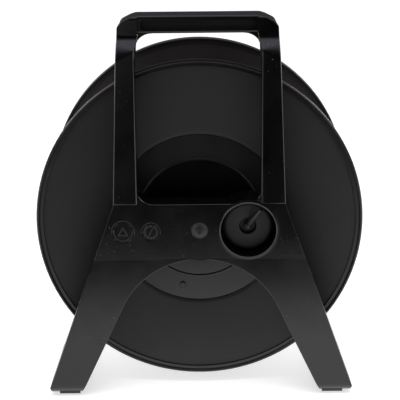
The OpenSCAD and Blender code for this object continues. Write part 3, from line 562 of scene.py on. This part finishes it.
def grain():
    """The fine grain of a moulded face, and a slow unevenness. Sizes are in metres."""
    def build(wires, place, given):
        return {"Fine": wires.noise(place, given["Size"], 2.0, 0.6),
                "Slow": wires.noise(place, given["Wave Size"], 1.0, 0.4)}
    inputs = [("Size", 0.0005), ("Wave Size", 0.02)]
    return make_group("Moulded grain", inputs, ["Fine", "Slow"], build)


def clouds():
    """A cloudy change of sheen over a face, from 0 to 1."""
    def build(wires, place, given):
        wide = wires.noise(place, given["Size"], 4.0, 0.6)
        return {"Value": wires.span(wide, 0.32, 0.68)}
    return make_group("Cloudy sheen", [("Size", 0.03)], ["Value"], build)


def in_patches(wires, place, given, mask, low):
    """Keeps a mask in the patches where a slow noise is over the low value."""
    patch = wires.span(wires.noise(place, given["Patch"]), low, 0.66)
    return wires.maths("MULTIPLY", wires.maths("MULTIPLY", mask, patch), given["Amount"], True)


def dust():
    """Small specks of dust that lie in patches."""
    def build(wires, place, given):
        cells = wires.add("TexVoronoi", feature="F1")
        wires.set(cells.inputs["Vector"], place)
        wires.set(cells.inputs["Scale"], wires.maths("DIVIDE", 1.0, given["Cell"]))
        split = wires.add("SeparateColor")
        wires.set(split.inputs[0], cells.outputs["Color"])
        radius = wires.span(split.outputs[0], 0.45, 1.0, 0.0, 0.2)
        speck = wires.maths("LESS_THAN", cells.outputs["Distance"], radius)
        strength = wires.maths("MULTIPLY", speck, split.outputs[1])
        return {"Mask": in_patches(wires, place, given, strength, 0.5)}
    inputs = [("Cell", 0.0019), ("Patch", 0.035), ("Amount", 0.5)]
    return make_group("Dust specks", inputs, ["Mask"], build)


def scuffs():
    """Thin straight scuffs that run one way, in patches."""
    def build(wires, place, given):
        turned = wires.add("Mapping")
        wires.set(turned.inputs["Vector"], place)
        turned.inputs["Rotation"].default_value = (0.3, 0.9, 0.2)
        turned.inputs["Scale"].default_value = (25.0, 900.0, 900.0)
        lines = wires.noise(turned.outputs[0], 1.0, 1.0)
        return {"Mask": in_patches(wires, place, given, wires.span(lines, 0.66, 0.72), 0.52)}
    return make_group("Thin scuffs", [("Patch", 0.06), ("Amount", 0.3)], ["Mask"], build)


# Materials

# A zone about the axle: its radius, the share of the colour inside it, which is painted shade
# where it is under 1, and the shares of the roughness inside and outside it, with a fade between
# them
Zone = namedtuple("Zone", "edge tint inside outside")
ZONE_FADE = 0.001

# Shares of a plastic's colour where it is darkest, palest and scuffed, and the roughness that
# scuffs and dust add
DARKEST, PALEST, SCUFFED = 0.8, 1.25, 3.0
SCUFF_ROUGH, DUST_ROUGH = 0.2, 0.4
DUST_TONE = (0.3, 0.29, 0.28)


def paler(tone, factor):
    return tuple(min(1.0, part * factor) for part in tone)


def solid(tone, factor=1.0):
    return paler(tone, factor) + (1.0,)


def new_material(name):
    if name in bpy.data.materials:
        bpy.data.materials.remove(bpy.data.materials[name])
    material = bpy.data.materials.new(name)
    material.use_nodes = True
    return material, Wires(material.node_tree), material.node_tree.nodes["Principled BSDF"]


def axle_distance(wires):
    """The distance of a place from the axle's centre line."""
    x, y, z = wires.parts(wires.add("TexCoord").outputs["Object"])
    across = wires.maths("SUBTRACT", x, AXLE_X)
    up = wires.maths("SUBTRACT", z, AXLE_Z)
    squares = [wires.maths("MULTIPLY", part, part) for part in (across, up)]
    return wires.maths("SQRT", wires.maths("ADD", *squares))


def plastic(name, tone, low, high, grain_size=0.0006, depth=0.00001, wave=0.00004, wave_size=0.02,
            cloud=0.03, dusty=0.3, scuffed=0.2, zone=None):
    """Moulded plastic with a grain, an uneven sheen from the low to the high roughness, thin scuffs
    and specks of dust, and on request a zone about the axle with its own roughness and a painted
    shade."""
    material, wires, shader = new_material(name)
    sheen = wires.group(clouds(), Size=cloud)["Value"]
    specks = wires.group(dust(), Amount=dusty)["Mask"]
    lines = wires.group(scuffs(), Amount=scuffed)["Mask"]
    face = wires.blend(sheen, solid(tone, DARKEST), solid(tone, PALEST))
    face = wires.blend(lines, face, solid(tone, SCUFFED))
    rough = wires.span(sheen, 0.0, 1.0, low, high)
    if zone:
        away = axle_distance(wires)
        limits = away, zone.edge, zone.edge + ZONE_FADE
        # Inside the zone's edge the colour falls to its share: on the hub plate this is painted
        # shade
        face = wires.blend(wires.span(*limits, 1.0, 0.0), face, solid(tone, zone.tint))
        rough = wires.maths("MULTIPLY", rough, wires.span(*limits, zone.inside, zone.outside))
    wires.set(shader.inputs["Base Color"], wires.blend(specks, face, solid(DUST_TONE)))
    rough = wires.maths("ADD", rough, wires.maths("MULTIPLY", lines, SCUFF_ROUGH))
    rough = wires.maths("ADD", rough, wires.maths("MULTIPLY", specks, DUST_ROUGH), True)
    wires.set(shader.inputs["Roughness"], rough)
    surface = wires.group(grain(), Size=grain_size, Wave_Size=wave_size)
    wires.bump(shader, wires.maths("ADD", wires.maths("MULTIPLY", surface["Fine"], depth),
                                   wires.maths("MULTIPLY", surface["Slow"], wave)))
    return material


def steel(name, tone, low, high):
    """Plated steel with fine marks of the tool and a cloudy plating."""
    material, wires, shader = new_material(name)
    sheen = wires.group(clouds(), Size=0.006)["Value"]
    lines = wires.group(scuffs(), Amount=0.6, Patch=0.01)["Mask"]
    face = wires.blend(sheen, solid(tone, 0.9), solid(tone, 1.08))
    wires.set(shader.inputs["Base Color"], wires.blend(lines, face, solid(tone, 0.7)))
    wires.set(shader.inputs["Roughness"], wires.span(sheen, 0.0, 1.0, low, high))
    shader.inputs["Metallic"].default_value = 1.0
    wires.bump(shader, wires.group(grain(), Size=0.0003, Wave_Size=0.004)["Fine"], 0.000006)
    return material


# The stage

FLOOR_SIZE = 14.0
FLOOR_LIFT = 0.60   # light that the floor adds for the camera alone
# How brightly the floor shows in a gloss, by its distance in front of the stand's rear face
FLOOR_GLOW = ((0.0, 0.70), (0.10, 0.74), (0.22, 0.73), (0.30, 0.50), (0.40, 0.17), (0.55, 0.03),
              (0.80, 0.01), (1.0, 0.005))
ASIDE_GLOW = 3.0
GLOSS_TINT = (0.97, 0.98, 1.16, 1.0)
WHITE = (1.0, 1.0, 1.0, 1.0)
LAMP_PLACE, LAMP_AIM, LAMP_SIZE = (0.0, -0.35, 1.5), (0.0, 0.0, 0.15), (1.2, 0.8)
CAMERA_PLACE = (0.0006, -1.14975, 0.4906)
CAMERA_DOWN, CAMERA_ROLL = 15.84, -0.53   # degrees
SENSOR_WIDE = 36.0                        # millimetres
FOCAL, IMAGE_WIDE = 1170.0, 400.0         # pixels


def floor_material(tone):
    """A pale matt floor. Seen in a gloss, it is bright by the feet and fades to the front, with a
    weaker glow far off on the left and a stronger one on both sides."""
    material, wires, shader = new_material("Pale floor")
    shader.inputs["Base Color"].default_value = solid(tone)
    shader.inputs["Roughness"].default_value = 0.9
    shader.inputs["Specular IOR Level"].default_value = 0.0
    shader.inputs["Emission Color"].default_value = WHITE
    path = wires.add("LightPath")
    lift = wires.maths("MULTIPLY", path.outputs["Is Camera Ray"], FLOOR_LIFT)
    wires.set(shader.inputs["Emission Strength"], lift)

    x, y, z = wires.parts(wires.add("NewGeometry").outputs["Position"])
    ahead = wires.maths("SUBTRACT", PLATE_REAR, y)
    curve = wires.add("FloatCurve")
    points = curve.mapping.curves[0].points
    points[0].location, points[1].location = FLOOR_GLOW[0], FLOOR_GLOW[-1]
    for distance, strength in FLOOR_GLOW[1:-1]:
        points.new(distance, strength)
    curve.mapping.update()
    wires.set(curve.inputs["Value"], ahead)
    left = wires.maths("MULTIPLY", wires.span(x, -0.3, 0.0, 1.0, 0.0),
                       wires.span(ahead, 1.2, 3.2, 0.02, 0.36))
    fade = wires.maths("MAXIMUM", curve.outputs[0], left)
    fade = wires.maths("MULTIPLY", fade, wires.span(x, -0.15, 0.15, 1.8, 2.05))
    beside = wires.maths("MULTIPLY", wires.span(wires.maths("ABSOLUTE", x), 0.22, 0.40, 0.0, 2.2),
                         wires.span(ahead, 0.7, 1.0, 1.0, 0.0))
    glow = wires.add("Emission")
    wires.set(glow.inputs["Strength"], wires.maths("MAXIMUM", fade, beside))
    mix = wires.add("MixShader")
    for socket, value in zip(mix.inputs, (path.outputs["Is Glossy Ray"], shader.outputs[0],
                                          glow.outputs[0])):
        wires.set(socket, value)
    output = material.node_tree.nodes["Material Output"]
    wires.set(output.inputs["Surface"], mix.outputs[0])
    return material


def studio_world(sky):
    """White surroundings. Seen in a gloss, they are dim, with a soft light overhead and one on
    each side."""
    world = bpy.data.worlds.new("Studio")
    world.use_nodes = True
    wires = Wires(world.node_tree)
    background = world.node_tree.nodes["Background"]
    path = wires.add("LightPath").outputs
    x, y, z = wires.parts(wires.add("TexCoord").outputs["Generated"])
    behind = wires.span(y, -0.3, 0.3, 0.01, 0.07)
    overhead = wires.span(z, 0.68, 0.94, 0.0, 1.1)
    aside = wires.maths("MULTIPLY", wires.span(wires.maths("ABSOLUTE", x), 0.55, 0.7),
                        wires.span(z, 0.25, 0.4))
    around = wires.maths("MAXIMUM", wires.maths("MAXIMUM", behind, overhead),
                         wires.maths("MULTIPLY", aside, ASIDE_GLOW))
    gloss = wires.maths("MULTIPLY", path["Is Glossy Ray"], around)
    wires.set(background.inputs["Color"], wires.blend(path["Is Glossy Ray"], WHITE, GLOSS_TINT))
    seen = wires.maths("MAXIMUM", path["Is Camera Ray"], path["Is Transmission Ray"])
    other = wires.maths("SUBTRACT", 1.0, wires.maths("MAXIMUM", path["Is Glossy Ray"], seen))
    level = wires.maths("ADD", wires.maths("ADD", seen, gloss), wires.maths("MULTIPLY", other, sky))
    wires.set(background.inputs["Strength"], level)
    return world


def top_lamp(power):
    """A soft lamp over the reel that shows in no gloss."""
    light = bpy.data.lights.new("Top lamp", "AREA")
    light.energy = power
    light.shape = "RECTANGLE"
    light.size, light.size_y = LAMP_SIZE
    lamp = bpy.data.objects.new("Top lamp", light)
    lamp.location = LAMP_PLACE
    lamp.rotation_euler = (Vector(LAMP_AIM) - lamp.location).to_track_quat("-Z", "Y").to_euler()
    lamp.visible_glossy = False
    return lamp


def reel_camera():
    """A camera that looks down at the reel from the rear, a little off level."""
    lens = bpy.data.cameras.new("Camera")
    lens.sensor_width = SENSOR_WIDE
    lens.lens = SENSOR_WIDE * FOCAL / IMAGE_WIDE
    lens.clip_start = 0.05
    camera = bpy.data.objects.new("Camera", lens)
    down, roll = math.radians(CAMERA_DOWN), math.radians(CAMERA_ROLL)
    ahead = Vector((0.0, math.cos(down), -math.sin(down)))
    right, up = Vector((1.0, 0.0, 0.0)), Vector((0.0, math.sin(down), math.cos(down)))
    right_turned = right * math.cos(roll) + up * math.sin(roll)
    up_turned = up * math.cos(roll) - right * math.sin(roll)
    turn = Matrix((right_turned, up_turned, -ahead)).transposed().to_4x4()
    camera.matrix_world = Matrix.Translation(CAMERA_PLACE) @ turn
    return camera


# Operators

class REEL_OT_stand(bpy.types.Operator):
    """Finishes the stand's moulding and its feet"""
    bl_idname = "reel.stand"
    bl_label = "Finish the Stand"

    def execute(self, context):
        given = context.scene.reel_stand
        moulding = merged_copy("stand_frame", "stand_moulding")
        for radius, wanted in ((given.band_round, at_band_top), (given.bend_round, at_band_foot)):
            if not round_edges(moulding, radius, wanted, steps=8, least=20.0, hollows=True):
                raise RuntimeError("the band between arms and cheeks was not found")
        if not round_edges(moulding, given.window_round, at_window, steps=4):
            raise RuntimeError("the window's edges were not found")
        if not round_edges(moulding, given.outline_round, at_stand_rear, steps=3):
            raise RuntimeError("the stand's rear edges were not found")
        flatten_lip(moulding)
        start = AXLE_Z + given.handle_start
        lower_handle(moulding, start, given.handle_factor)
        smooth(moulding)
        satin = plastic("Stand plastic", given.colour, given.rough_low, given.rough_high,
                        dusty=given.dust, grain_size=0.002, depth=0.000016, wave=0.00026,
                        wave_size=0.03)
        put_on(moulding, "stand", "stand", satin, "stand_frame")

        high, low = (start + (AXLE_Z + place - start) * given.handle_factor
                     for place in (TRAY_HIGH, TRAY_LOW))
        tray = channel_tray(given.channel, high, low, PLATE_REAR + TRAY_BACK)
        smooth(tray)
        # The tray's paler plastic is painted light: it lifts the shade inside the grip's channel
        inside = plastic("Channel plastic", paler(given.colour, CHANNEL_PAINTED_LIGHT), 0.36, 0.46,
                         dusty=given.dust)
        put_on(tray, "stand", "stand", inside)

        rubbed = plastic("Rubbed plastic", paler(given.colour, MARKS_PALER), 0.34, 0.5,
                         dusty=given.dust)
        liner = cup_liner(given.cup_reach, given.cup_lip)
        smooth(liner, 40.0)
        put_on(liner, "stand", "stand", satin)
        bead_height = 0.7 * given.cup_lip
        bead = cup_bead(given.cup_reach + given.cup_bead, given.cup_bead, bead_height)
        smooth(bead, 50.0)
        # The bead's pale plastic is a painted highlight: the bright line round the cup's lip
        bead_highlight = plastic("Bead plastic", paler(given.colour, BEAD_HIGHLIGHT), 0.26, 0.36)
        put_on(bead, "stand", "stand", bead_highlight)
        for mark, x in ((date_dial, DIAL_X), (triangle_mark, TRIANGLE_X)):
            put_on(mark(AXLE_X + x, AXLE_Z + MARKS_Z, given.mark), "stand", "stand", rubbed)
        rubber = plastic("Foot rubber", given.rubber, 0.7, 0.85, depth=0.00002, dusty=0.6)
        paint("foot_pads", rubber)
        return {"FINISHED"}


class REEL_OT_drum(bpy.types.Operator):
    """Finishes the flanges, the core, the hub plate, the front hub, its cover and the grommet"""
    bl_idname = "reel.drum"
    bl_label = "Finish the Drum"

    def execute(self, context):
        given = context.scene.reel_drum
        matt = plastic("Drum plastic", given.colour, given.rough_low, given.rough_high,
                       depth=0.000016, wave=0.00003, cloud=0.05, dusty=given.dust, scuffed=0.15,
                       zone=Zone(given.rim, tint=1.0, inside=1.0, outside=0.7))
        low, high = given.rough_low - 0.16, given.rough_high - 0.18   # the hub plate is smoother
        # The hub plate's colour falls to 0.15 inside its bead: painted shade on the disc that lies
        # in the stand's shade
        satin = plastic("Hub plate plastic", given.plate_colour, low, high, cloud=0.04,
                        dusty=given.dust, zone=Zone(given.bead, tint=0.15, inside=0.6, outside=1.0))
        for node in ("rear_flange", "front_flange", "front_hub", "drum_core", "hub_cover",
                     "hub_plate"):
            piece = merged_copy(node, node + "_moulding")
            round_edges(piece, given.edge_round, everywhere, least=40.0, shortest=0.001)
            smooth(piece)
            slot, finish = ("hub_plate", satin) if node == "hub_plate" else ("drum", matt)
            put_on(piece, "drum", slot, finish, node)
        paint("cord_grommet", plastic("Grommet rubber", given.grommet, 0.6, 0.75, dusty=0.3))
        return {"FINISHED"}


class REEL_OT_fittings(bpy.types.Operator):
    """Finishes the axle, its nut and washers, the bushes and the screws"""
    bl_idname = "reel.fittings"
    bl_label = "Finish the Fittings"

    def execute(self, context):
        given = context.scene.reel_fittings
        plated = steel("Plated steel", given.steel, 0.25, 0.42)
        for node in ("axle_nut", "rear_washer", "front_washer", "drum_screws", "cover_screws",
                     "crank_pin", "brake_spindle", "spindle_clip"):
            paint(node, plated)
        coated = plastic("Axle coating", given.coated, 0.46, 0.58, grain_size=0.0004, wave=0.0,
                         dusty=0.2)
        paint("axle", coated)
        ring = dimple_ring(given.dimple, given.ridge)
        smooth(ring)
        put_on(ring, "stand", "axle", coated)
        nylon = plastic("Bush nylon", given.nylon, 0.4, 0.5, dusty=0.0, scuffed=0.0)
        for node in ("rear_bush", "front_bush"):
            paint(node, nylon)
        return {"FINISHED"}


class REEL_OT_brake(bpy.types.Operator):
    """Finishes the brake's knob, lever, shoe and pad"""
    bl_idname = "reel.brake"
    bl_label = "Finish the Brake"

    def execute(self, context):
        given = context.scene.reel_brake
        matt = plastic("Knob plastic", given.knob, 0.5, 0.62, depth=0.00002, dusty=0.3, scuffed=0.1)
        shell = knob_shell(given.radius, given.hole, given.bore, given.corner)
        smooth(shell)
        put_on(shell, "brake_knob", "knob", matt, "brake_knob")
        lever = merged_copy("brake_lever", "brake_lever_moulding")
        round_edges(lever, given.edge_round, everywhere, least=40.0, shortest=0.0003)
        smooth(lever)
        put_on(lever, "brake_knob", "knob", matt, "brake_lever")
        paint("brake_shoe", plastic("Shoe nylon", given.shoe, 0.4, 0.55, dusty=0.1, scuffed=0.0))
        paint("brake_pad", plastic("Friction rubber", given.pad, 0.75, 0.9, dusty=0.2))
        return {"FINISHED"}


class REEL_OT_crank(bpy.types.Operator):
    """Finishes the winding knob and its cap"""
    bl_idname = "reel.crank"
    bl_label = "Finish the Crank"

    def execute(self, context):
        given = context.scene.reel_crank
        satin = plastic("Crank plastic", given.grip, 0.34, 0.46, dusty=0.2)
        for node in ("crank_knob", "crank_cap"):
            piece = merged_copy(node, node + "_moulding")
            round_edges(piece, given.edge_round, everywhere, least=40.0, shortest=0.0003)
            smooth(piece)
            put_on(piece, "crank", "crank", satin, node)
        return {"FINISHED"}


class REEL_OT_stage(bpy.types.Operator):
    """Sets the floor, the light and the camera"""
    bl_idname = "reel.stage"
    bl_label = "Set the Stage"

    def execute(self, context):
        scene, given = context.scene, context.scene.reel_stage
        scene.view_settings.view_transform = "Standard"
        nothing_selected()
        bpy.ops.mesh.primitive_plane_add(size=FLOOR_SIZE, location=(0.0, 0.0, 0.0))
        floor = context.active_object
        floor.name = "floor"
        floor.data.materials.append(floor_material(given.floor))
        scene.world = studio_world(given.sky)
        scene.collection.objects.link(top_lamp(given.key))
        camera = reel_camera()
        scene.collection.objects.link(camera)
        scene.camera = camera
        return {"FINISHED"}


OPERATORS = (REEL_OT_stand, REEL_OT_drum, REEL_OT_fittings, REEL_OT_brake, REEL_OT_crank,
             REEL_OT_stage)


class REEL_PT_panel(bpy.types.Panel):
    bl_label = "Cord Reel"
    bl_idname = "REEL_PT_panel"
    bl_space_type = "VIEW_3D"
    bl_region_type = "UI"
    bl_category = "Cord Reel"

    def draw(self, context):
        for (label, kind), operator in zip(GROUPS.items(), OPERATORS):
            box = self.layout.box()
            for field in kind.__annotations__:
                box.prop(getattr(context.scene, label), field)
            box.operator(operator.bl_idname)


def register():
    for kind in (*GROUPS.values(), *OPERATORS, REEL_PT_panel):
        bpy.utils.register_class(kind)
    for label, kind in GROUPS.items():
        setattr(bpy.types.Scene, label, PointerProperty(type=kind))


def unregister():
    for label in GROUPS:
        delattr(bpy.types.Scene, label)
    for kind in reversed((*GROUPS.values(), *OPERATORS, REEL_PT_panel)):
        bpy.utils.unregister_class(kind)


def main():
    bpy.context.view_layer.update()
    register()
    nothing_selected()
    bpy.ops.reel.stand()
    bpy.ops.reel.drum()
    bpy.ops.reel.fittings()
    bpy.ops.reel.brake()
    bpy.ops.reel.crank()
    bpy.ops.reel.stage()


if __name__ == "__main__":
    main()
